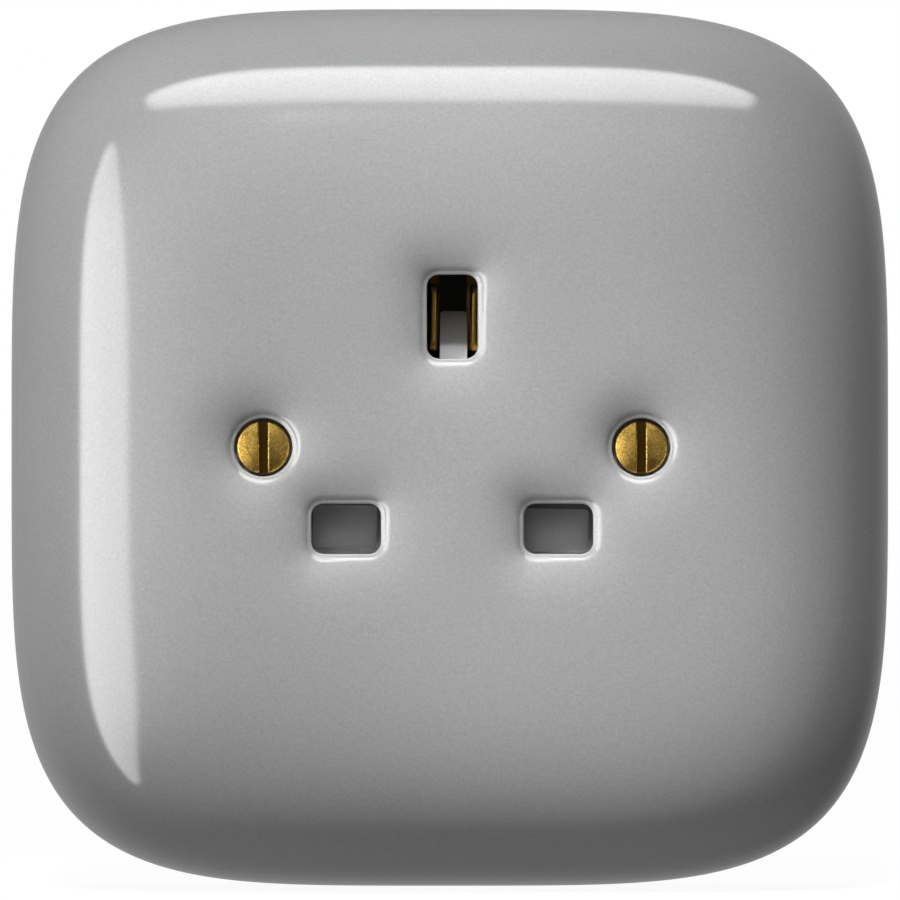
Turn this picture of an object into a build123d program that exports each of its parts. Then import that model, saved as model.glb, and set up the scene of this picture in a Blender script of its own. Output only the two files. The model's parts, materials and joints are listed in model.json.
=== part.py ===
from build123d import *
import math
import os

# A porcelain surface socket, in millimetres. Each piece is drawn with x to the right, y up and z out from
# the wall, and is stood against the wall plane when it is written.

# Porcelain cover
width = 94.0  # across the rim at the wall, both ways
depth = 43.0  # from the wall to the middle of the face
outline_power = 4.2  # squareness of the outline, where 2 is a circle
roll_power = 4.5  # how late the sides roll over into the face
side_wall = 5.0
face_wall = 4.5
outline_points = 48
roll_sections = 14
face_flat = 7.5  # half-width of the flat that closes the roll in the middle of the face

# Pin slots in the cover, in the layout that the plug fixes
pin_spacing = 22.23  # live to neutral, and earth to the line through both
earth_y = 13.7  # earth slot's centre above the middle of the face
flat_slot_width = 7.25
flat_slot_height = 5.25
earth_slot_width = 5.3
earth_slot_height = 8.8
slot_corner = 1.25
lip_radius = 0.9  # rounded edge of the glaze round every hole
dimple_slope = 24.0  # of the face where it meets the lip, in degrees
dimple_edge_slope = 4.0  # where the dimple leaves the face
dimple_reach = 6.0  # from the wall of the hole
rim_clear = 0.1  # height of the dimple's edge over the face
rim_run = 4.0  # a rim's cut goes on this far, straight and shallow, to clear the face
earth_pin_length = 22.73
flat_pin_length = 17.7
pin_overrun = 2.0  # room beyond the tip of a pin

# Cover screws, their bosses and the pillars that they are driven into
screw_spacing = 39.6
head_radius = 2.75
head_height = 2.0
head_round = 0.2
head_sink = 1.5  # top of the head below the face
head_gap = 0.3
head_crown = 8.0  # radius of a cover screw's domed top
driver_slot = 0.85
slot_edge = 0.12  # rounding along a cover screw's slot
shank_radius = 1.5
shank_tip = 0.35
shank_gap = 0.2
thread_gap = 0.05
cover_screw_length = 12.0
boss_radius = 5.5
boss_thickness = 3.3  # porcelain under a screw head
seat_gap = 0.2  # between a boss and its pillar
pillar_radius = 4.0
insert_radius = 2.3
insert_length = 8.0
insert_relief = 2.5  # pillar hole beyond the insert

# Base plate against the wall
base_gap = 0.4  # between the plate and the cover
base_thickness = 3.5
rim_height = 4.5
rim_wall = 2.2
wall_hole_spacing = 60.3
wall_hole_radius = 2.25
countersink_radius = 4.2
cable_radius = 10.0
lug_out = 3.3  # side feet beyond the module
lug_y = 13.0
low_lug_out = 4.0
lug_radius = 4.0
lug_thickness = 4.0
lug_play = 0.1  # round a mounting screw, beyond the room for the twist
module_lift = 7.5  # wiring space between the plate and the module
mounting_grip = 6.5  # thread of a mounting screw in the plate
grip_relief = 0.5

# Contact module: cap, body and the shutter between them
module_twist = 1.0  # the module sits this many degrees askew on its screws
cap_side_wall = 1.7  # beside the shutter's guide
cap_end_wall = 1.85  # below the guide and above the earth pocket
cap_corner = 4.0
cap_edge = 0.8
cap_gap = 0.9  # between the cap and the inside of the cover
cap_wall = 1.4
window_width = 6.75
window_height = 4.55
window_corner = 0.5
earth_window_gap = 0.25  # earth window outside the earth slot, all round
cap_screw_x = 9.5
cap_screw_y = 4.0
cap_head_radius = 2.2
cap_head_height = 1.5
cap_shank_radius = 1.25
cap_screw_length = 9.0
module_gap = 0.8  # clear of the pillars and bosses

# Shutter and its spring
shutter_thickness = 2.8
shutter_corner = 0.6
slide_gap = 0.2
stop_gap = 0.15
blade_overlap = 0.15  # of a blade past its window
blade_margin = 2.0  # blade below its window
blade_side = 0.8
open_margin = 0.1  # blade clear of its window when open
stem_width = 9.0
stem_clear = 0.3  # stem below the edge of the earth slot
ramp_width = 2.85
ramp_drop = 5.0
ramp_tip = 1.2
ramp_spare = 0.6  # ramp beyond the travel
ramp_corner = 0.4
spring_radius = 1.15  # to the middle of the wire
spring_wire = 0.36
spring_turns = 9.0
spring_gap = 0.4
spring_seat_y = -4.2
spring_spare = 0.5  # guide beyond the open blades

# Contacts and terminals
contact_stock = 0.7
bend = 0.9
throat_setback = 2.6  # from the front of a leaf to where it grips
leaf_corner = 1.2
flat_throat = 1.7  # half the gap that grips a flat pin
flat_root = 0.6  # how far the leaves spread at the base
flat_flare = 0.8  # how far the leaves open at the front
flat_leaf = 6.2
flat_setback = 0.4  # leaf tips behind the front of the body
earth_throat = 1.65
earth_root = 0.75
earth_flare = 0.15
earth_leaf = 7.1
earth_setback = 1.2  # leaf tips behind the inside of the cap
tip_round = 0.25  # rounded front edges of the leaves
pin_stop_gap = 0.2  # of the earth pin's stop over the contact and under the pin
pin_stop_side = 0.2  # of the stop inside the grip of the leaves
contact_gap = 0.35  # between a contact and its pocket
earth_end_gap = 1.2
terminal_y = -11.0
terminal_clear = 0.4  # between the flat pins' terminal screws and the cap
earth_terminal_clear = 1.5
block_width = 6.8
block_length = 8.0
block_height = 8.5
block_edge = 0.4
block_gap = 0.2
strap_width = 4.8
spigot_radius = 1.2
wire_radius = 2.1
wire_height = 3.2
wire_gap = 0.3
pocket_wall = 1.5
floor_wall = 4.5
terminal_head_radius = 2.6
terminal_head_height = 1.8
terminal_shank_radius = 1.75
terminal_bite = 1.0  # screw tip inside the wire hole
tower_brim = 0.5  # tower above the terminal screw

# Levels above the wall that follow from the sizes above
ceiling = depth - face_wall
cap_front = ceiling - cap_gap
cap_inner = cap_front - cap_wall
shutter_top = cap_inner - slide_gap
shutter_bottom = shutter_top - shutter_thickness
body_top = shutter_bottom - slide_gap
body_bottom = base_thickness + module_lift
lug_top = body_bottom + lug_thickness
flat_strap = depth - flat_pin_length - pin_overrun
flat_floor = flat_strap - contact_stock
earth_strap = depth - earth_pin_length - pin_overrun
earth_floor = earth_strap - contact_stock
ramp_floor = shutter_top - ramp_drop - ramp_tip

# Places across the face that follow from the sizes above
flat_x = pin_spacing / 2
flat_y = earth_y - pin_spacing
screw_x = screw_spacing / 2
wall_hole_x = wall_hole_spacing / 2
travel = window_height + blade_overlap + open_margin
blade_reach = flat_x + window_width / 2 + blade_side
blade_top = flat_y + window_height / 2 + blade_overlap
blade_bottom = flat_y - window_height / 2 - blade_overlap - blade_margin
stem_top = earth_y - earth_slot_height / 2 - stem_clear
ramp_end = stem_top + travel + ramp_spare
spring_stop_y = blade_bottom - travel - spring_spare
guide_side = blade_reach + slide_gap
stem_side = stem_width / 2 + slide_gap
earth_side = earth_throat + contact_stock + earth_root + contact_gap
earth_end = earth_leaf / 2 + earth_end_gap
cap_side = guide_side + cap_side_wall
cap_top = earth_y + earth_end + cap_end_wall
cap_bottom = spring_stop_y - cap_end_wall
lug_x = cap_side + lug_out
lug_spots = [(-lug_x, lug_y), (lug_x, lug_y), (0, cap_bottom - low_lug_out)]
lug_swing = math.radians(module_twist) * max(math.hypot(x, y) for x, y in lug_spots)
terminal_x = cap_side + terminal_head_radius + terminal_clear
earth_terminal_y = cap_top + terminal_head_radius + earth_terminal_clear
strap_half = strap_width / 2
pocket_x = block_width / 2 + block_gap
pocket_y = block_length / 2 + block_gap


def block(x, y, z):
    """Box between the low and high values of each of the three pairs."""
    size = [high - low for low, high in (x, y, z)]
    return Pos(*[(low + high) / 2 for low, high in (x, y, z)]) * Box(*size)


def both_ways(half, middle=0.0):
    """Pair of values at equal distances from the middle."""
    return (middle - half, middle + half)


def round_bar(radius, x, y, z):
    """Cylinder that stands out from the wall between the two levels of the pair z."""
    return Pos(x, y, (z[0] + z[1]) / 2) * Cylinder(radius, z[1] - z[0])


def pair(piece):
    """The piece and its mirror image across the upright centre plane."""
    return piece + mirror(piece, Plane.YZ)


def squircle(half_width):
    """Face inside |x|^p + |y|^p = half_width^p, where p is outline_power."""
    points = []
    for step in range(outline_points):
        angle = 2 * math.pi * step / outline_points
        c, s = math.cos(angle), math.sin(angle)
        reach = half_width / (abs(c) ** outline_power + abs(s) ** outline_power) ** (1 / outline_power)
        points.append((reach * c, reach * s))
    return make_face(Spline(*points, periodic=True))


def roll(half_width, height):
    """Evenly spaced (reach, level) points on (reach / half_width)^p + (level / height)^q = 1, rim first."""
    fine = []
    for step in range(2001):
        angle = math.radians(90 * step / 2000)
        reach = half_width * math.cos(angle) ** (2 / outline_power)
        if reach > face_flat:
            fine.append((reach, height * math.sin(angle) ** (2 / roll_power)))
    run = [0.0]
    for here, there in zip(fine, fine[1:]):
        run.append(run[-1] + math.dist(here, there))
    stops = [run[-1] * step / (roll_sections - 1) for step in range(roll_sections)]
    return [fine[min(range(len(run)), key=lambda i: abs(run[i] - stop))] for stop in stops]


def pebble(half_width, height):
    """Solid on z = 0: squircles that shrink along the roll, closed by the flat middle of the face."""
    return loft([Pos(0, 0, level) * squircle(reach) for reach, level in roll(half_width, height)])


def face_level(x, y):
    """Height of the undimpled face over a point."""
    rho = (abs(x) ** outline_power + abs(y) ** outline_power) / (width / 2) ** outline_power
    return depth * (1 - rho) ** (1 / roll_power)


def rim_section():
    """Section of a rim outwards from a hole's wall: lip arc, dimple arc, then a run that clears the face."""
    steep, shallow = math.radians(dimple_slope), math.radians(dimple_edge_slope)
    lip_end = lip_radius * (1 - math.sin(steep))
    bend = (dimple_reach - lip_end) / (math.sin(steep) - math.sin(shallow))
    lip_level = rim_clear - bend * (math.cos(shallow) - math.cos(steep))
    wall_top = lip_level - lip_radius * math.cos(steep)
    lip = CenterArc((lip_radius, wall_top), lip_radius, 180, dimple_slope - 90)
    dimple_middle = (dimple_reach + bend * math.sin(shallow), rim_clear - bend * math.cos(shallow))
    dimple = CenterArc(dimple_middle, bend, 90 + dimple_slope, dimple_edge_slope - dimple_slope)
    out, level = dimple_reach + rim_run, rim_clear + rim_run * math.tan(shallow)
    return make_face([lip, dimple, Polyline(dimple @ 1, (out, level), (0, level), lip @ 0)])


def slot_cutter(slot_width, slot_height, x, y):
    """Straight shaft of a pin slot with the rim round it."""
    outline = Pos(x, y, 0) * RectangleRounded(slot_width, slot_height, slot_corner)
    path = outline.wire()
    start, along, up = path @ 0, path % 0, Vector(0, 0, 1)
    out = along.cross(up)
    if out.dot(start - Vector(x, y, 0)) < 0:
        out = -out
    rim = sweep(Plane(start, x_dir=out, z_dir=out.cross(up)) * rim_section(), path=path)
    shaft = extrude(outline, rim.bounding_box().max.Z)
    shaft += extrude(outline, 1.5 * face_wall, dir=(0, 0, -1))
    return Pos(0, 0, face_level(x, y)) * (shaft + rim)


def screw_cutter():
    """Sunk seat of a cover screw with the rim round it, and the hole for its shank."""
    bore = head_radius + head_gap
    rim = revolve(Plane.XZ * Pos(bore, 0) * rim_section(), Axis.Z)
    seat = -head_sink - head_height
    well = round_bar(bore, 0, 0, (seat, rim.bounding_box().max.Z))
    shank = round_bar(shank_radius + shank_gap, 0, 0, (seat - 2 * boss_thickness, seat))
    return Pos(screw_x, 0, face_level(screw_x, 0)) * (well + rim + shank)


def cheese_screw(head_r, head_h, shank_r, length):
    """Slotted cheese-head screw that stands on z = 0 with its shank below."""
    head = round_bar(head_r, 0, 0, (0, head_h))
    head = fillet(head.edges().group_by(Axis.Z)[-1], head_round)
    head -= block(both_ways(driver_slot / 2), both_ways(2 * head_r), (head_h / 2, 2 * head_h))
    shank = round_bar(shank_r, 0, 0, (-length, 0))
    return head + chamfer(shank.edges().group_by(Axis.Z)[0], shank_tip)


def crowned_screw():
    """Cover screw: a domed cheese head, rounded along its slot and at the ends of the slot's floor."""
    spread = math.degrees(math.asin(head_radius / head_crown))
    crown = CenterArc((0, head_height - head_crown), head_crown, 90 - spread, spread)
    side = Polyline(crown @ 1, (0, 0), (head_radius, 0), crown @ 0)
    section = make_face([crown, side])
    section = fillet(section.vertices().sort_by_distance(crown @ 0)[0], head_round)
    head = revolve(Plane.XZ * section, Axis.Z)
    wall, floor = driver_slot / 2, head_height / 2
    head -= block(both_ways(wall), both_ways(2 * head_radius), (floor, 2 * head_height))
    top = head.edges().filter_by(GeomType.CIRCLE).group_by(Axis.Z)[-1]
    ends = head.edges().filter_by(lambda edge: abs(edge.center().Z - floor) < thread_gap)
    head = fillet(top + ends.filter_by(GeomType.CIRCLE), slot_edge)
    shank = round_bar(shank_radius, 0, 0, (-cover_screw_length, 0))
    return head + chamfer(shank.edges().group_by(Axis.Z)[0], shank_tip)


def terminal_block():
    """Pillar terminal on z = 0: a wire hole along y, a screw hole from the front, a spigot for the strap."""
    pillar = block(both_ways(block_width / 2), both_ways(block_length / 2), (0, block_height))
    pillar = chamfer(pillar.edges().filter_by(Axis.Z), block_edge)
    pillar -= Pos(0, 0, wire_height) * Rot(90, 0, 0) * Cylinder(wire_radius, 2 * block_length)
    pillar -= round_bar(terminal_shank_radius + thread_gap, 0, 0, (wire_height, 2 * block_height))
    return pillar + round_bar(spigot_radius, 0, 0, (-contact_stock, 0))


def clip(throat, root, flare, leaf, floor, front):
    """Two leaves that grip across y: they close to a throat, flare, and have rounded front corners."""
    half = throat + contact_stock / 2
    base = floor + contact_stock / 2
    waist = front - throat_setback
    side = [(half + flare, front), (half, waist), (half + root, base)]
    path = FilletPolyline(*side, *[(-y, z) for y, z in reversed(side)], radius=bend)
    leaves = extrude(Plane.YZ * trace(path, contact_stock), leaf / 2, both=True)
    height = 2 * (front - floor)
    front_view = Plane.XZ * Pos(0, front - height / 2) * RectangleRounded(leaf, height, leaf_corner)
    leaves &= extrude(front_view, 4 * half, both=True)
    tips = leaves.edges().filter_by(Axis.X).filter_by(lambda edge: edge.center().Z > front - contact_stock)
    return fillet(tips, tip_round)


# Porcelain cover: one pebble inside another, with bosses for its screws, then the slots and screw holes
seat_level = face_level(screw_x, 0) - head_sink - head_height
boss_level = seat_level - boss_thickness
cover = pebble(width / 2, depth) - pebble(width / 2 - side_wall, ceiling)
cover += pair(round_bar(boss_radius, screw_x, 0, (boss_level, seat_level)))
cover -= slot_cutter(earth_slot_width, earth_slot_height, 0, earth_y)
cover -= slot_cutter(flat_slot_width, flat_slot_height, flat_x, flat_y)
cover -= slot_cutter(flat_slot_width, flat_slot_height, -flat_x, flat_y)
cover -= pair(screw_cutter())

cover_screws = pair(Pos(screw_x, 0, seat_level) * crowned_screw())

# Base plate: a squircle with a rim inside the cover, two pillars, three bosses for the module, and holes
base_half = width / 2 - side_wall - base_gap
pillar_top = boss_level - seat_gap
insert_bottom = pillar_top - insert_length
base = extrude(squircle(base_half), base_thickness + rim_height)
base -= Pos(0, 0, base_thickness) * extrude(squircle(base_half - rim_wall), rim_height)
base += pair(round_bar(pillar_radius, screw_x, 0, (0, pillar_top)))
base -= pair(round_bar(insert_radius, screw_x, 0, (insert_bottom, pillar_top)))
base -= pair(round_bar(shank_radius + shank_gap, screw_x, 0, (insert_bottom - insert_relief, pillar_top)))
grip = (body_bottom - mounting_grip - grip_relief, body_bottom)
for x, y in lug_spots:
    base += round_bar(lug_radius, x, y, (0, body_bottom))
    base -= round_bar(shank_radius + thread_gap, x, y, grip)
countersink_depth = countersink_radius - wall_hole_radius
countersink = Cone(wall_hole_radius, countersink_radius, countersink_depth)
base -= pair(round_bar(wall_hole_radius, wall_hole_x, 0, (0, base_thickness)))
base -= pair(Pos(wall_hole_x, 0, base_thickness - countersink_depth / 2) * countersink)
base -= round_bar(cable_radius, 0, 0, (0, base_thickness))

insert = round_bar(insert_radius, screw_x, 0, (insert_bottom, pillar_top))
insert -= round_bar(shank_radius + thread_gap, screw_x, 0, (insert_bottom, pillar_top))
pillar_inserts = pair(insert)

mounting_screw = cheese_screw(head_radius, head_height, shank_radius, lug_thickness + mounting_grip)
mounting_screws = Part() + [Pos(x, y, lug_top) * mounting_screw for x, y in lug_spots]

# Cap of the module: under its three windows the shutter's guide is cut as an upside-down T
guide = (body_top, cap_inner)
earth_ends = both_ways(earth_end, earth_y)
cap_seat = cap_front - cap_head_height - shank_gap
footprint = RectangleRounded(2 * cap_side, cap_top - cap_bottom, cap_corner)
footprint = Pos(0, (cap_top + cap_bottom) / 2) * footprint
earth_window = RectangleRounded(
    earth_slot_width + 2 * earth_window_gap, earth_slot_height + 2 * earth_window_gap, slot_corner
)
flat_window = RectangleRounded(window_width, window_height, window_corner)
cap = extrude(Pos(0, 0, body_top) * footprint, cap_front - body_top)
cap = fillet(cap.edges().group_by(Axis.Z)[-1], cap_edge)
cap -= block(both_ways(guide_side), (spring_stop_y, blade_top + stop_gap), guide)
cap -= block(both_ways(stem_side), (blade_top, stem_top + stop_gap), guide)
cap -= block(both_ways(earth_side), (stem_top, earth_ends[1]), guide)
cap -= extrude(Pos(0, earth_y, cap_inner) * earth_window, cap_wall)
cap -= pair(extrude(Pos(flat_x, flat_y, cap_inner) * flat_window, cap_wall))
cap -= pair(round_bar(boss_radius + module_gap, screw_x, 0, (body_top, cap_front)))
cap -= pair(round_bar(cap_shank_radius + shank_gap, cap_screw_x, cap_screw_y, (body_top, cap_front)))
cap -= pair(round_bar(cap_head_radius + shank_gap, cap_screw_x, cap_screw_y, (cap_seat, cap_front)))

cap_screw = cheese_screw(cap_head_radius, cap_head_height, cap_shank_radius, cap_screw_length)
cap_screws = pair(Pos(cap_screw_x, cap_screw_y, cap_seat) * cap_screw)

# Body of the module: a column, two wings and a tower, with feet and with pockets for what it holds
wing_side = terminal_x + pocket_x + pocket_wall
wing_ends = both_ways(pocket_y + pocket_wall, terminal_y)
tower_high = earth_terminal_y + pocket_y + pocket_wall
tower_top = earth_strap + block_height + terminal_head_height + tower_brim
body = extrude(Pos(0, 0, body_bottom) * footprint, body_top - body_bottom)
body += block(both_ways(wing_side), wing_ends, (flat_floor - floor_wall, body_top))
body += block(both_ways(pocket_x + pocket_wall), (0, tower_high), (earth_floor - floor_wall, tower_top))
for x, y in lug_spots:
    body += round_bar(lug_radius, x, y, (body_bottom, lug_top))
    across = (min(x, 0), max(x, 0)) if x else both_ways(lug_radius)
    along = both_ways(lug_radius, y) if x else (y, 0)
    body += block(across, along, (body_bottom, lug_top))
    body -= round_bar(shank_radius + lug_swing + lug_play, x, y, (body_bottom, lug_top))
body -= pair(round_bar(pillar_radius + module_gap, screw_x, 0, (body_bottom, body_top)))
cap_screw_tip = cap_seat - cap_screw_length
body -= pair(round_bar(cap_shank_radius + thread_gap, cap_screw_x, cap_screw_y, (cap_screw_tip, body_top)))
wire_way = Rot(90, 0, 0) * Cylinder(wire_radius + wire_gap, 2 * (block_gap + pocket_wall + block_edge))
flat_grip = flat_throat + contact_stock + flat_flare + contact_gap
flat_well = (flat_floor, body_top)
pockets = block(both_ways(flat_leaf / 2 + contact_gap, flat_x), both_ways(flat_grip, flat_y), flat_well)
pockets += block((flat_x, terminal_x), both_ways(strap_half + contact_gap, flat_y), flat_well)
pockets += block(both_ways(pocket_x, terminal_x), both_ways(pocket_y, terminal_y), flat_well)
pockets += Pos(terminal_x, wing_ends[0], flat_strap + wire_height) * wire_way
body -= pair(pockets)
earth_well = (earth_floor, body_top)
body -= block(both_ways(earth_side), earth_ends, earth_well)
body -= block(both_ways(strap_half + contact_gap), (earth_y, earth_terminal_y), earth_well)
body -= block(both_ways(pocket_x), both_ways(pocket_y, earth_terminal_y), earth_well)
body -= Pos(0, tower_high, earth_strap + wire_height) * wire_way
stop_levels = (earth_strap + pin_stop_gap, earth_strap + pin_overrun - pin_stop_gap)
body += block(both_ways(earth_throat - pin_stop_side), earth_ends, stop_levels)
ramp_way = (stem_top - travel - slide_gap, earth_y)
body -= block(both_ways(ramp_width / 2 + slide_gap), ramp_way, (ramp_floor - slide_gap, body_top))

# Shutter: an upside-down T whose arms are the two blades, with the earth pin's ramp on top of its stem
shutter_levels = (shutter_bottom, shutter_top)
shutter = block(both_ways(blade_reach), (blade_bottom, blade_top), shutter_levels)
shutter += block(both_ways(stem_width / 2), (blade_bottom, stem_top), shutter_levels)
shutter = fillet(shutter.edges().filter_by(Axis.Z), shutter_corner)
ramp_side = [
    (blade_top, shutter_bottom),
    (blade_top, shutter_top),
    (stem_top, shutter_top),
    (ramp_end, shutter_top - ramp_drop),
    (ramp_end, ramp_floor),
    (stem_top, shutter_bottom),
]
ramp = extrude(Plane.YZ * make_face(Polyline(*ramp_side, close=True)), ramp_width / 2, both=True)
shutter += fillet(ramp.edges().filter_by(Axis.Z).group_by(Axis.Y)[-1], ramp_corner)
spring_side = spring_radius + spring_wire / 2 + spring_gap
shutter -= block(both_ways(spring_side), (blade_bottom, spring_seat_y), shutter_levels)

coil_length = spring_seat_y - spring_stop_y - spring_wire
coil = Helix(coil_length / spring_turns, coil_length, spring_radius)
wire = sweep((coil ^ 0) * Circle(spring_wire / 2), path=coil)
spring_level = (shutter_top + shutter_bottom) / 2
shutter_spring = Pos(0, spring_stop_y + spring_wire / 2, spring_level) * Rot(-90, 0, 0) * wire

# Contacts: a clip of two leaves, and a strap from its base to the terminal
flat_tips = body_top - flat_setback
flat_tail = (flat_floor, flat_strap)
flat_clip = clip(flat_throat, flat_root, flat_flare, flat_leaf, flat_floor, flat_tips)
live_contact = Pos(flat_x, flat_y, 0) * flat_clip
live_contact += block((flat_x, terminal_x), both_ways(strap_half, flat_y), flat_tail)
live_contact += block(both_ways(strap_half, terminal_x), both_ways(strap_half, terminal_y), flat_tail)
live_contact -= round_bar(spigot_radius, terminal_x, terminal_y, flat_tail)
neutral_contact = mirror(live_contact, Plane.YZ)

earth_tips = cap_inner - earth_setback
earth_tail = (earth_floor, earth_strap)
earth_clip = clip(earth_throat, earth_root, earth_flare, earth_leaf, earth_floor, earth_tips)
earth_contact = Pos(0, earth_y, 0) * Rot(0, 0, 90) * earth_clip
earth_contact += block(both_ways(strap_half), (earth_y, earth_terminal_y + strap_half), earth_tail)
earth_contact -= round_bar(spigot_radius, 0, earth_terminal_y, earth_tail)

# Terminals and their screws
live_spot = Pos(terminal_x, terminal_y, flat_strap)
neutral_spot = Pos(-terminal_x, terminal_y, flat_strap)
earth_spot = Pos(0, earth_terminal_y, earth_strap)
screw_reach = block_height - wire_height - wire_radius + terminal_bite
terminal_screw = cheese_screw(terminal_head_radius, terminal_head_height, terminal_shank_radius, screw_reach)
terminal_screws = Part() + [
    spot * Pos(0, 0, block_height) * terminal_screw for spot in (live_spot, neutral_spot, earth_spot)
]

# The whole module stands a little askew
askew = Rot(0, 0, -module_twist)

os.makedirs("parts", exist_ok=True)
pieces = {
    "porcelain_cover": cover,
    "cover_screws": cover_screws,
    "base_plate": base,
    "pillar_inserts": pillar_inserts,
    "mounting_screws": mounting_screws,
    "module_body": askew * body,
    "module_cap": askew * cap,
    "cap_screws": askew * cap_screws,
    "shutter": askew * shutter,
    "shutter_spring": askew * shutter_spring,
    "live_contact": askew * live_contact,
    "neutral_contact": askew * neutral_contact,
    "earth_contact": askew * earth_contact,
    "live_terminal": askew * live_spot * terminal_block(),
    "neutral_terminal": askew * neutral_spot * terminal_block(),
    "earth_terminal": askew * earth_spot * terminal_block(),
    "terminal_screws": askew * terminal_screws,
}
for name, piece in pieces.items():
    export_step(Plane.XZ * piece, f"parts/{name}.step")
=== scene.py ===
import json
import math

import bpy
import numpy as np
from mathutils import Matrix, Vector
from mathutils.geometry import delaunay_2d_cdt


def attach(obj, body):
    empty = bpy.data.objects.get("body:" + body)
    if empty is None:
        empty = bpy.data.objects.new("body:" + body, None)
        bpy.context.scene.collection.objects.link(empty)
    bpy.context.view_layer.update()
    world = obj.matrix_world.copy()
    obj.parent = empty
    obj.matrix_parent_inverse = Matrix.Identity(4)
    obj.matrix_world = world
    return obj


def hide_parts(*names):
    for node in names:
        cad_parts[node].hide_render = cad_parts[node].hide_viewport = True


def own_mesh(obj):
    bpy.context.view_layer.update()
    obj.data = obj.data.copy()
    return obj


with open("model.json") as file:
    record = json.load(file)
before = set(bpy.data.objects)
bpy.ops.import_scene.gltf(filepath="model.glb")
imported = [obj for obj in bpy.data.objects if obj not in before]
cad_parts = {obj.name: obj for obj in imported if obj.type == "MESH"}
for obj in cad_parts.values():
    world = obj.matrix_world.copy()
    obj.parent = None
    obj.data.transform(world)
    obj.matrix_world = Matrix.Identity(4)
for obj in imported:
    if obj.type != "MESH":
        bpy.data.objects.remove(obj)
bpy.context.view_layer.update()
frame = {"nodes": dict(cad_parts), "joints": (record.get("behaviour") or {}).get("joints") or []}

# Base plate: the black thermoset plate that is screwed to the wall, moulded in one piece with a fine matt
# surface. It carries the module and the two pillars that the cover's screws are driven into, and its rim
# centres the cover.


class Shade:
    """One output of a material's nodes. An operator adds a Math node, and node() adds any other node."""

    def __init__(self, tree, socket=None):
        self.tree = tree
        self.socket = socket

    def node(self, kind, settings, sockets, output=0):
        """Add a node, make its settings, then set or link its sockets by name or number."""
        added = self.tree.nodes.new(kind)
        for name, value in settings.items():
            setattr(added, name, value)
        for key, value in sockets.items():
            if isinstance(value, Shade):
                self.tree.links.new(value.socket, added.inputs[key])
            else:
                added.inputs[key].default_value = value
        return Shade(self.tree, added.outputs[output] if added.outputs else None)

    def maths(self, operation, first, second=0.0):
        """A Math node on one or two values."""
        return self.node("ShaderNodeMath", {"operation": operation}, {0: first, 1: second})

    def __add__(self, other):
        return self.maths("ADD", self, other)

    def __sub__(self, other):
        return self.maths("SUBTRACT", self, other)

    def __rsub__(self, other):
        return self.maths("SUBTRACT", other, self)

    def __mul__(self, other):
        return self.maths("MULTIPLY", self, other)

    def __abs__(self):
        return self.maths("ABSOLUTE", self)

    __radd__ = __add__
    __rmul__ = __mul__

    def root(self):
        """Square root."""
        return self.maths("SQRT", self)

    def wave(self):
        """Sine of an angle in radians."""
        return self.maths("SINE", self)

    def step(self, low, high):
        """0 below low and 1 above high, with a soft step between."""
        ease = {"interpolation_type": "SMOOTHSTEP"}
        return self.node("ShaderNodeMapRange", ease, {"Value": self, "From Min": low, "From Max": high})

    def noise(self, scale, detail=2.0):
        """Noise between 0 and 1 over a vector, scale features in a metre."""
        return self.node("ShaderNodeTexNoise", {}, {"Vector": self, "Scale": scale, "Detail": detail})

    def stretched(self, x, y, z):
        """The vector with each of its parts multiplied."""
        return self.node("ShaderNodeVectorMath", {"operation": "MULTIPLY"}, {0: self, 1: (x, y, z)})

    def part(self, axis):
        """One part of a vector: 0 for x, 1 for y, 2 for z."""
        return self.node("ShaderNodeSeparateXYZ", {}, {"Vector": self}, axis)

    def mix(self, low, high):
        """Colour between low and high, with this as the share of high."""
        low, high = [c if isinstance(c, Shade) else (*c, 1.0) for c in (low, high)]
        return self.node("ShaderNodeMix", {"data_type": "RGBA"}, {0: self, 6: low, 7: high}, 2)

    def bump(self, height, strength=1.0):
        """Normal of a surface with this as its relief, height metres from 0 to 1."""
        return self.node("ShaderNodeBump", {}, {"Height": self, "Distance": height, "Strength": strength})


def new_material(name):
    """A material without nodes, and its Object coordinates."""
    material = bpy.data.materials.new(name)
    material.use_nodes = True
    material.node_tree.nodes.clear()
    return material, Shade(material.node_tree).node("ShaderNodeTexCoord", {}, {}, "Object")


def surface(place, **sockets):
    """Close a material with one Principled surface. A socket's name has _ for each space."""
    named = {name.replace("_", " "): value for name, value in sockets.items()}
    shader = place.node("ShaderNodeBsdfPrincipled", {}, named)
    place.node("ShaderNodeOutputMaterial", {}, {"Surface": shader})


def dress(material, *nodes):
    """Give CAD nodes one material."""
    for node in nodes:
        frame["nodes"][node].data.materials.clear()
        frame["nodes"][node].data.materials.append(material)


def moulding(name, dark, pale, roughness, grain):
    """Moulded plastic: clouded colour, and a fine grain, in metres, that breaks up its sheen."""
    spread = 0.16
    material, place = new_material(name)
    cloud = place.noise(scale=160.0)
    fine = place.noise(scale=2600.0, detail=3.0)
    surface(
        place,
        Base_Color=(cloud * 0.6 + fine * 0.4).step(0.3, 0.7).mix(dark, pale),
        Roughness=fine * spread + (roughness - spread / 2),
        Normal=fine.bump(grain),
    )
    return material


matt_black = moulding(
    "black_moulding", dark=(0.012, 0.012, 0.013), pale=(0.022, 0.022, 0.024), roughness=0.5, grain=2.5e-5
)
dress(matt_black, "base_plate")

# Pillar inserts: turned brass sleeves moulded into the tops of the plate's pillars, for the cover's screws.
# Their mill finish is the same as that of the contacts and terminals, which are pressed and cut from brass.


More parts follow.
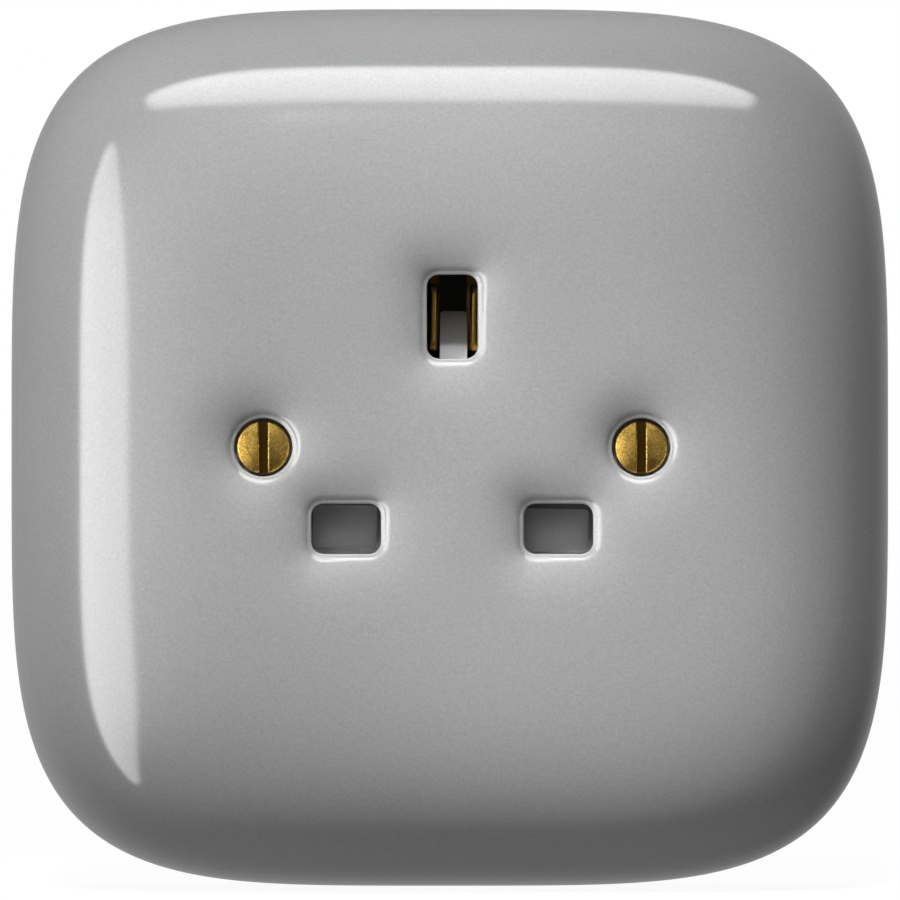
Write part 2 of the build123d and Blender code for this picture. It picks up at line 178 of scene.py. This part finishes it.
def stock_brass(name, along):
    """Plain brass strip or bar: fine lines along the axis that along makes short, and clouds of tarnish."""
    material, place = new_material(name)
    lines = place.stretched(*along).noise(scale=3000.0, detail=3.0)
    tarnish = place.noise(scale=350.0, detail=4.0).step(0.45, 0.75)
    surface(
        place,
        Base_Color=tarnish.mix((0.7, 0.42, 0.09), (0.48, 0.28, 0.055)),
        Metallic=1.0,
        Roughness=lines * 0.14 + tarnish * 0.12 + 0.22,
        Normal=lines.bump(8e-6),
    )
    return material


dress(stock_brass("turned_brass", along=(1.0, 0.05, 1.0)), "pillar_inserts")

# Mounting and cap screws: zinc-plated steel cheese heads. Two hold the module's feet to the plate, and four
# hold the cap on the module. The plating is pale and slightly blue, duller where it has clouded.

zinc, place = new_material("zinc_plate")
cloud = place.noise(scale=700.0, detail=4.0).step(0.35, 0.7)
surface(
    place,
    Base_Color=cloud.mix((0.66, 0.67, 0.69), (0.48, 0.49, 0.51)),
    Metallic=1.0,
    Roughness=cloud * 0.16 + 0.24,
    Normal=place.noise(scale=4000.0).bump(4e-6),
)
dress(zinc, "mounting_screws", "cap_screws")

# Module: the body with three chambers and the cap on it, moulded in satin black. Its contacts are bent from
# spring-brass strip, with a brass terminal and a pinch screw on each. The earth contact's leaves stand higher
# than the others and show in the upper slot.

satin_black = moulding(
    "module_moulding", dark=(0.1, 0.1, 0.1), pale=(0.15, 0.15, 0.15), roughness=0.35, grain=2.5e-5
)
strip_brass = stock_brass("strip_brass", along=(1.0, 0.06, 1.0))
bar_brass = stock_brass("bar_brass", along=(0.06, 1.0, 1.0))
dress(satin_black, "module_body", "module_cap")
dress(strip_brass, "live_contact", "neutral_contact", "earth_contact")
dress(bar_brass, "live_terminal", "neutral_terminal", "earth_terminal")
dress(stock_brass("screw_brass", along=(1.0, 0.05, 1.0)), "terminal_screws")

# Shutter: one pale grey moulding that slides under the cap. Its blades close the lower slots, and its ramp
# stands in the upper slot, where the earth pin pushes it down against the spring.

satin_grey = moulding(
    "grey_moulding", dark=(0.58, 0.58, 0.575), pale=(0.68, 0.68, 0.672), roughness=0.42, grain=1.2e-5
)
dress(satin_grey, "shutter")

# Shutter spring: a coil of bright steel wire in the shutter's lower slot, between its seat and the cap's end
# wall. It is drawn here as one fixed coil.


def add_piece(name, points, faces, material, body, slot, *nodes):
    """A smooth mesh in place of CAD nodes, riding on their body."""
    mesh = bpy.data.meshes.new(name)
    mesh.from_pydata(points, [], faces)
    mesh.shade_smooth()
    mesh.materials.append(material)
    piece = bpy.data.objects.new(name, mesh)
    bpy.context.scene.collection.objects.link(piece)
    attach(piece, body)
    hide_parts(*nodes)
    return piece


def quads(numbers):
    """Quads between neighbouring rows and columns of an array of point numbers."""
    corners = numbers[:-1, :-1], numbers[:-1, 1:], numbers[1:, 1:], numbers[1:, :-1]
    return np.stack(corners, axis=-1).reshape(-1, 4)


slide = np.array(frame["joints"][0]["axis"])
wire_radius = 0.00018
coil_radius = 0.00115
coil_turns, turn_steps, wire_sides = 9, 24, 10
coil_foot = np.array([-0.000319, -0.0346, -0.018252])
coil_length = 0.01405

# A helix of round wire: turn runs from 0 to 1 up the coil, and round_wire goes round the wire's section.
turn = np.linspace(0, 1, turn_steps * coil_turns + 1)[:, None]
round_wire = np.linspace(0, 2 * np.pi, wire_sides + 1)[None, :-1]
angle = 2 * np.pi * coil_turns * turn
reach = coil_radius + wire_radius * np.cos(round_wire)
rise = wire_radius + (coil_length - 2 * wire_radius) * turn + wire_radius * np.sin(round_wire)
side = np.array([-slide[2], 0.0, slide[0]])
front = np.array([0.0, -1.0, 0.0])
coil = coil_foot - rise[..., None] * slide
coil = coil + (reach * np.cos(angle))[..., None] * side + (reach * np.sin(angle))[..., None] * front
numbers = np.arange(coil.size // 3).reshape(len(turn), -1)
coil_faces = quads(np.hstack([numbers, numbers[:, :1]])).tolist()
coil_faces += [numbers[0, ::-1].tolist(), numbers[-1].tolist()]

steel, place = new_material("spring_steel")
surface(
    place,
    Base_Color=place.noise(scale=900.0).mix((0.5, 0.5, 0.51), (0.64, 0.64, 0.65)),
    Metallic=1.0,
    Roughness=place.noise(scale=2500.0) * 0.2 + 0.2,
)
spring = add_piece("spring_coil", coil.reshape(-1, 3), coil_faces, steel, "socket", "steel", "shutter_spring")
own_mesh(spring)

# Cover: one slip-cast porcelain shell under a thick grey glaze, held to the base plate by two screws. Its
# outline and its section are superellipses. Round each hole the glaze sinks in a shallow dimple and stops at a
# bevelled ledge, and the foot that stands on the wall is bare. Sizes are in millimetres.

half_width, depth = 47.0, 43.0
inner_half_width, ceiling = 42.0, 38.5
outline_power, roll_power = 4.2, 4.5
ledge, bevel, lip = 0.42, 0.45, 0.15
lean_left, lean_up = 0.28, 0.18
dimple_depth, dimple_reach, edge_depth, edge_reach = 1.18, 8.0, 0.18, 0.78
seat, shank_bore, boss_radius, boss_foot = 39.244, 1.7, 5.5, 35.944
pin_reach, pin_level, earth_level, slot_corner = 11.115, -8.53, 13.7, 1.25
screw_reach, well_radius = 19.8, 3.05
holes = np.array([
    # x, y, half width, half height, corner
    [0.0, earth_level, 2.65, 4.4, slot_corner],
    [-pin_reach, pin_level, 3.625, 2.625, slot_corner],
    [pin_reach, pin_level, 3.625, 2.625, slot_corner],
    [-screw_reach, 0.0, well_radius, well_radius, well_radius],
    [screw_reach, 0.0, well_radius, well_radius, well_radius],
])
grid_step, grid_cells, roll_samples = 0.5, 56, 6001
collar_rings, wall_rings, outside_rings, inside_rings = 24, 6, 60, 24


def away_from_holes(x, y):
    """Distance from (x, y) to each hole, millimetres: to a rectangle, less its corner radius, and 0 inside."""
    cx, cy, half_w, half_h, corner = holes.T.reshape(5, -1, *[1] * x.ndim)
    across, up = abs(x - cx) - half_w + corner, abs(y - cy) - half_h + corner
    away = np.hypot(across.clip(0), up.clip(0)) + np.maximum(across, up).clip(None, 0) - corner
    return away.clip(0)


def sunk(x, y):
    """How far the face is sunk at (x, y), millimetres. Each hole has a wide cubic dimple, then the steeper
    edge of the glaze, also a cubic, which stops at a bevelled ledge, and a quarter-round lip. The dimple
    is deeper to the left of the hole and above it, by the shares lean_left and lean_up, and as much shallower
    opposite."""
    away = away_from_holes(x, y)
    past_ledge = (away - ledge).clip(0)
    dimple = dimple_depth * (1 - past_ledge / dimple_reach).clip(0) ** 3
    edge = edge_depth * (1 - past_ledge / edge_reach).clip(0) ** 3
    slope = bevel * (ledge - away).clip(0)
    rolled = lip - np.sqrt(lip**2 - (lip - away).clip(0) ** 2)
    cx, cy = holes.T[:2].reshape(2, -1, *[1] * x.ndim)
    leaning = 1 + (lean_left * (cx - x) + lean_up * (y - cy)) / (np.hypot(x - cx, y - cy) + 1e-9)
    return (dimple * leaning + edge + slope + rolled).sum(axis=0)


def dome(x, y, half, high):
    """Height of the pebble over (x, y): (rho / half)^p + (z / high)^q = 1, where rho^p = |x|^p + |y|^p."""
    rho = (abs(x) ** outline_power + abs(y) ** outline_power) / half**outline_power
    return high * (1 - rho) ** (1 / roll_power)


points, faces = [], []


def put(x, y, z):
    """Add points given in the face's own millimetres, z out from the wall, and return their numbers."""
    start = sum(len(block) for block in points)
    points.append(np.stack([x, -z, y], axis=-1).reshape(-1, 3) / 1000)
    return np.arange(start, start + x.size).reshape(x.shape)


def border(grid):
    """The points round the edge of a grid, anticlockwise from its lower left corner."""
    return np.concatenate([grid[:-1, 0], grid[-1, :-1], grid[:0:-1, -1], grid[0, :0:-1]])


def strip(rings):
    """Quads between closed rings of point numbers, one ring in each row."""
    faces.extend(quads(np.hstack([rings, rings[:, :1]])).tolist())


def roll_down(x, y, half, high, rows, sink):
    """Rings from the loop (x, y) on the face to the rim at the wall, evenly spaced along the roll of the
    dome, and sunk by the share sink of what the face is."""
    bend = np.linspace(np.pi / 2, 0, roll_samples)
    out = half * np.cos(bend).clip(0) ** (2 / outline_power)
    level = high * np.sin(bend) ** (2 / roll_power)
    run = np.append(0, np.hypot(np.diff(out), np.diff(level)).cumsum())
    rho = (abs(x) ** outline_power + abs(y) ** outline_power) ** (1 / outline_power)
    start = np.interp(rho, out, run)
    stop = start + (run[-1] - start) * np.linspace(0, 1, rows + 1)[1:, None]
    reach = np.interp(stop, run, out)
    ring_x, ring_y = x / rho * reach, y / rho * reach
    return put(ring_x, ring_y, np.interp(stop, run, level) - sink * sunk(ring_x, ring_y))


def hole_outline(hole, cells_x, cells_y):
    """Points round a hole, one to each point round a block of cells: straight runs and quarter circles."""
    middle_x, middle_y, half_w, half_h, corner = hole
    runs = []
    for count, half, other in ((cells_x, half_w, half_h), (cells_y, half_h, half_w)):
        straight = half - corner
        share = straight / (straight + 2 * corner)
        along = np.linspace(-1, 1, count + 1)[:-1]
        turned = np.radians(45) * (abs(along) - share).clip(0) / (1 - share)
        flat = along.clip(-share, share) / max(share, 1e-9) * straight
        bent = np.sign(along) * corner * np.sin(turned)
        runs.append((flat + bent, other - corner + corner * np.cos(turned)))
    (u, v), (s, t) = runs
    return middle_x + np.concatenate([u, t, -u, -t]), middle_y + np.concatenate([-v, s, v, -s])


lines = grid_step * np.arange(-grid_cells, grid_cells + 1)
x, y = np.meshgrid(lines, lines, indexing="ij")
face_grid = put(x, y, dome(x, y, half_width, depth) - sunk(x, y))
whole = np.ones((2 * grid_cells, 2 * grid_cells), bool)
ceiling_loops = []
collar = ledge + edge_reach
for hole in holes:
    middle, half, corner = hole[:2], hole[2:4], hole[4]
    low = np.floor((middle - half - collar) / grid_step).astype(int) + grid_cells
    high = np.ceil((middle + half + collar) / grid_step).astype(int) + grid_cells
    whole[low[0]:high[0], low[1]:high[1]] = False
    block = np.s_[low[0]:high[0] + 1, low[1]:high[1] + 1]
    edge_x, edge_y = border(x[block]), border(y[block])
    wall_x, wall_y = hole_outline(hole, *(high - low))
    share = np.linspace(1, 0, collar_rings + 1)[1:, None] ** 2
    lip_x, lip_y = wall_x + (edge_x - wall_x) * share, wall_y + (edge_y - wall_y) * share
    lip_z = dome(lip_x, lip_y, half_width, depth) - sunk(lip_x, lip_y)
    # A slot goes straight through. A round well has a seat, then the screw's bore through a boss.
    if corner < half[0]:
        stages = [(1.0, None)]
    else:
        boss, shank = boss_radius / corner, shank_bore / corner
        stages = [(1.0, seat), (shank, seat), (shank, boss_foot), (boss, boss_foot), (boss, None)]
    ring_x, ring_y, ring_z = [lip_x], [lip_y], [lip_z]
    for scale, level in stages:
        next_x = middle[0] + (wall_x - middle[0]) * scale
        next_y = middle[1] + (wall_y - middle[1]) * scale
        if level is None:
            level = dome(next_x, next_y, inner_half_width, ceiling)
        share = np.linspace(0, 1, wall_rings + 1)[1:, None]
        ring_x.append(ring_x[-1][-1] + (next_x - ring_x[-1][-1]) * share)
        ring_y.append(ring_y[-1][-1] + (next_y - ring_y[-1][-1]) * share)
        ring_z.append(ring_z[-1][-1] + (level - ring_z[-1][-1]) * share)
    rings = put(np.concatenate(ring_x), np.concatenate(ring_y), np.concatenate(ring_z))
    strip(np.vstack([border(face_grid[block]), rings]))
    ceiling_loops.append(rings[-1])
faces.extend(quads(face_grid)[whole.ravel()][:, ::-1].tolist())

loop_x, loop_y = border(x), border(y)
outside = roll_down(loop_x, loop_y, half_width, depth, outside_rings, sink=1.0)
inside = roll_down(loop_x, loop_y, inner_half_width, ceiling, inside_rings, sink=0.0)
brim = put(loop_x, loop_y, dome(loop_x, loop_y, inner_half_width, ceiling))
strip(np.vstack([border(face_grid), outside, inside[::-1], brim])[::-1])
ceiling_loops.append(brim)

# The ceiling is the triangles between the five holes and the brim, less those that lie across a hole.
points = np.concatenate(points)
loose = np.concatenate(ceiling_loops)
starts = np.cumsum([0] + [len(loop) for loop in ceiling_loops])
edges = [
    pair
    for first, last in zip(starts, starts[1:])
    for pair in zip(range(first, last), [*range(first + 1, last), first])
]
flat = (points[loose][:, [0, 2]] * 1000).tolist()
triangles = np.array(delaunay_2d_cdt(flat, edges, [], 1, 1e-6)[2])[:, ::-1]
owner = np.repeat(np.arange(len(ceiling_loops)), [len(loop) for loop in ceiling_loops])[triangles]
across_hole = (owner == owner[:, :1]).all(axis=1) & (owner[:, 0] < len(holes))
faces.extend(loose[triangles[~across_hole]].tolist())

glaze_grey, foot_height, foot_blur = 0.36, 0.0006, 0.0001
glaze, place = new_material("grey_glaze")
mottle = place.noise(scale=45.0, detail=3.0)
grain = place.noise(scale=3800.0, detail=1.0)
foot = place.part(1).step(-foot_height - foot_blur, -foot_height + foot_blur)
tone = (mottle * 0.12 + grain * 0.3 + 0.79) * glaze_grey
glazed = tone.node("ShaderNodeCombineColor", {}, {0: tone, 1: tone, 2: tone})
surface(
    place,
    Base_Color=foot.mix(glazed, (0.6, 0.58, 0.54)),
    Roughness=foot * 0.6 + grain * 0.05 + 0.06,
    Specular_IOR_Level=1.0,
    Normal=grain.bump(1.2e-6),
)
add_piece("glazed_cover", points, faces, glaze, "socket", "porcelain", "porcelain_cover")

# Cover screws: slotted brass cheese heads, turned and left plain, sunk in the two wells of the cover and
# driven into the pillars. The tool has left fine rings and a faint step on the heads, and the slots' edges are
# worn round. The floors of the slots are painted dark, a painted shade for the recess. Sizes are in metres.

crown_start, crown_stop = 0.00156, 0.00166
slot_half_width, slot_blur, worn_to = 0.00046, 0.00002, 0.00062
slot_shaded, slot_dark = -0.0412, -0.041
ring_angle = 42000.0

turned, place = new_material("turned_head")
from_axis = abs(place.part(0)) - screw_reach / 1000
radius = (from_axis * from_axis + place.part(2) * place.part(2)).root()
tool_rings = (radius * ring_angle + place.noise(scale=500.0) * 3.0).wave() * 0.5 + 0.5
crown = radius.step(crown_start, crown_stop)
slot_edge = abs(from_axis).step(slot_half_width, worn_to)
speckle = place.noise(scale=5200.0, detail=1.0)
tarnish = place.noise(scale=900.0, detail=4.0).step(0.35, 0.75)
beside_slot = abs(from_axis).step(slot_half_width - slot_blur, slot_half_width + slot_blur)
# Painted shade: below the head's crown, the floor of each slot is coloured dark brass, as shade in the recess.
painted_slot_shade = (1.0 - beside_slot) * place.part(1).step(slot_shaded, slot_dark)
clean = (speckle * 0.8 + tarnish * 0.2).step(0.3, 0.75).mix((0.98, 0.64, 0.15), (0.44, 0.26, 0.05))
surface(
    place,
    Base_Color=painted_slot_shade.mix(clean, (0.16, 0.09, 0.018)),
    Metallic=1.0,
    Roughness=speckle * 0.12 + tarnish * 0.05 + 0.2,
    Normal=(tool_rings * 0.12 + crown + slot_edge * 9.0 + speckle * 0.8).bump(8e-6),
)
dress(turned, "cover_screws")

# Studio floor: a pale sheet of paper just under the socket. It glows by itself up to the white of the
# background, and its matt share takes the socket's shadow. It sends no light up and holds none off.

floor_gap = 0.0001
floor_level = -half_width / 1000 - floor_gap
floor_corners = [(x, y, floor_level) for x, y in ((-4, -4), (4, -4), (4, 8), (-4, 8))]
floor_mesh = bpy.data.meshes.new("floor")
floor_mesh.from_pydata(floor_corners, [], [(0, 1, 2, 3)])
floor = bpy.data.objects.new("floor", floor_mesh)
bpy.context.scene.collection.objects.link(floor)
paper, place = new_material("pale_paper")
matt = place.node("ShaderNodeBsdfDiffuse", {}, {"Color": (0.85, 0.85, 0.85, 1)})
glow = place.node("ShaderNodeEmission", {}, {"Strength": 1.06})
shown = place.node("ShaderNodeMixShader", {}, {0: 0.88, 1: matt, 2: glow})
place.node("ShaderNodeOutputMaterial", {}, {"Surface": shown})
floor_mesh.materials.append(paper)
floor.visible_diffuse = False
floor.visible_glossy = False
floor.visible_shadow = False

# Studio light: the camera sees a white room. The glaze and the metals mirror two long soft boxes, above and
# to the left, among dimmer patches of wall. Soft patches of sky fill the shade, and three spots from above
# and the upper left make the pool of light on the face.


def toward(off_axis, azimuth):
    """Direction by degrees from the camera's axis and degrees round it, anticlockwise from the right."""
    off_axis, azimuth = math.radians(off_axis), math.radians(azimuth)
    across = math.sin(off_axis)
    return Vector((across * math.cos(azimuth), -math.cos(off_axis), across * math.sin(azimuth)))


world = bpy.data.worlds.new("studio")
bpy.context.scene.world = world
world.use_nodes = True
world.node_tree.nodes.clear()
sky = Shade(world.node_tree)
ray = sky.node("ShaderNodeTexCoord", {}, {}, "Generated")


def light(strength):
    """Plain white light from the world."""
    return sky.node("ShaderNodeBackground", {}, {"Color": (1, 1, 1, 1), "Strength": strength})


def patches(*rows):
    """World of soft round patches. Each row: degrees off the axis and round it, degrees from there to which
    the patch is full and at which it is gone, and its strength."""
    total = None
    for off_axis, azimuth, full, gone, strength in rows:
        middle = {0: ray, 1: toward(off_axis, azimuth)}
        cosine = ray.node("ShaderNodeVectorMath", {"operation": "DOT_PRODUCT"}, middle, "Value")
        share = 1.0 - ray.maths("ARCCOSINE", cosine).step(math.radians(full), math.radians(gone))
        patch = ray.node("ShaderNodeMixShader", {}, {0: share, 2: light(strength)})
        total = ray.node("ShaderNodeAddShader", {}, {0: total, 1: patch}) if total else patch
    return total


fill = patches(
    (0.0, 0.0, 5.0, 45.0, 0.08),
    (35.0, 105.0, 5.0, 30.0, 1.9),
    (60.0, 225.0, 5.0, 35.0, 1.8),
    (70.0, 315.0, 5.0, 40.0, 0.5),
    (80.0, 90.0, 5.0, 35.0, 1.2),
    (180.0, 0.0, 40.0, 100.0, 1.0),
)
mirrored = patches(
    (0.0, 0.0, 5.0, 60.0, 0.12),
    (50.0, 180.0, 5.0, 46.0, 1.25),
    (50.0, 90.0, 5.0, 50.0, 0.8),
    (35.0, 0.0, 5.0, 30.0, 0.2),
    (140.0, 135.0, 30.0, 85.0, 0.35),
)


def long_box(total, side, along, middle, half, near, far, bend, strength):
    """Add a long soft box, sizes in degrees. It reaches from near to far off the axis toward one side, and
    half to either way of middle along it. Its near edge bends away by bend times the square of the distance
    from middle, and it brightens from there to its far edge."""
    off = ray.maths("ARCTAN2", side, 0.0 - ray.part(1))
    turn = ray.maths("ARCSINE", along) - math.radians(middle)
    near_edge = off - turn * turn * (bend * 180 / math.pi)
    inner = near_edge.step(math.radians(near - 4), math.radians(near + 3))
    outer = 1.0 - off.step(math.radians(far - 2), math.radians(far + 4))
    ends = 1.0 - abs(turn).step(math.radians(half - 3), math.radians(half + 1))
    brightness = near_edge.step(math.radians(near), math.radians(far)) * 0.35 + 0.65
    box = ray.node("ShaderNodeMixShader", {}, {0: inner * outer * ends * brightness, 2: light(strength)})
    return ray.node("ShaderNodeAddShader", {}, {0: total, 1: box})


mirrored = long_box(
    mirrored, side=0.0 - ray.part(0), along=ray.part(2),
    middle=-8.0, half=43.0, near=42.0, far=75.0, bend=0.0152, strength=4.4,
)
mirrored = long_box(
    mirrored, side=ray.part(2), along=ray.part(0),
    middle=0.0, half=34.0, near=57.5, far=84.0, bend=0.0125, strength=5.3,
)
camera_ray, glossy_ray, clear_ray = [
    sky.node("ShaderNodeLightPath", {}, {}, f"Is {kind} Ray") for kind in ("Camera", "Glossy", "Transmission")
]
room = sky.node("ShaderNodeMixShader", {}, {0: glossy_ray, 1: fill, 2: mirrored})
seen = sky.node("ShaderNodeMixShader", {}, {0: camera_ray + clear_ray, 1: room, 2: light(1.0)})
sky.node("ShaderNodeOutputWorld", {}, {"Surface": seen})

# Each spot: its name, the point it is aimed at, degrees off the axis and round it, watts, and its own radius.
lamp_distance, pool_radius = 0.6, 0.036
for name, aim, off_axis, azimuth, power, soft in (
    ("top_key", (0.004, -0.043, -0.009), 48.0, 95.0, 47.0, 0.08),
    ("key", (0.018, -0.043, -0.017), 52.0, 125.0, 27.0, 0.045),
    ("low_key", (0.018, -0.043, -0.017), 74.0, 148.0, 10.5, 0.045),
):
    lamp = bpy.data.lights.new(name, "SPOT")
    lamp.energy = power
    lamp.spot_size = 2 * math.atan(pool_radius / lamp_distance)
    lamp.spot_blend = 0.7
    lamp.shadow_soft_size = soft
    holder = bpy.data.objects.new(name, lamp)
    holder.location = Vector(aim) + lamp_distance * toward(off_axis, azimuth)
    holder.rotation_euler = (-toward(off_axis, azimuth)).to_track_quat("-Z", "Y").to_euler()
    holder.visible_camera = False
    holder.visible_glossy = False
    bpy.context.scene.collection.objects.link(holder)

# Camera: a long lens in front of the face, a little to its left and turned back toward it.

lens = bpy.data.cameras.new("camera")
lens.sensor_width = 36.0
lens.lens = 458.9
camera = bpy.data.objects.new("camera", lens)
camera.location = (-0.0122, -1.2429, -0.00027)
camera.rotation_euler = (math.pi / 2, 0, math.radians(-0.57))
bpy.context.scene.collection.objects.link(camera)
bpy.context.scene.camera = camera
bpy.context.scene.view_settings.view_transform = "Standard"
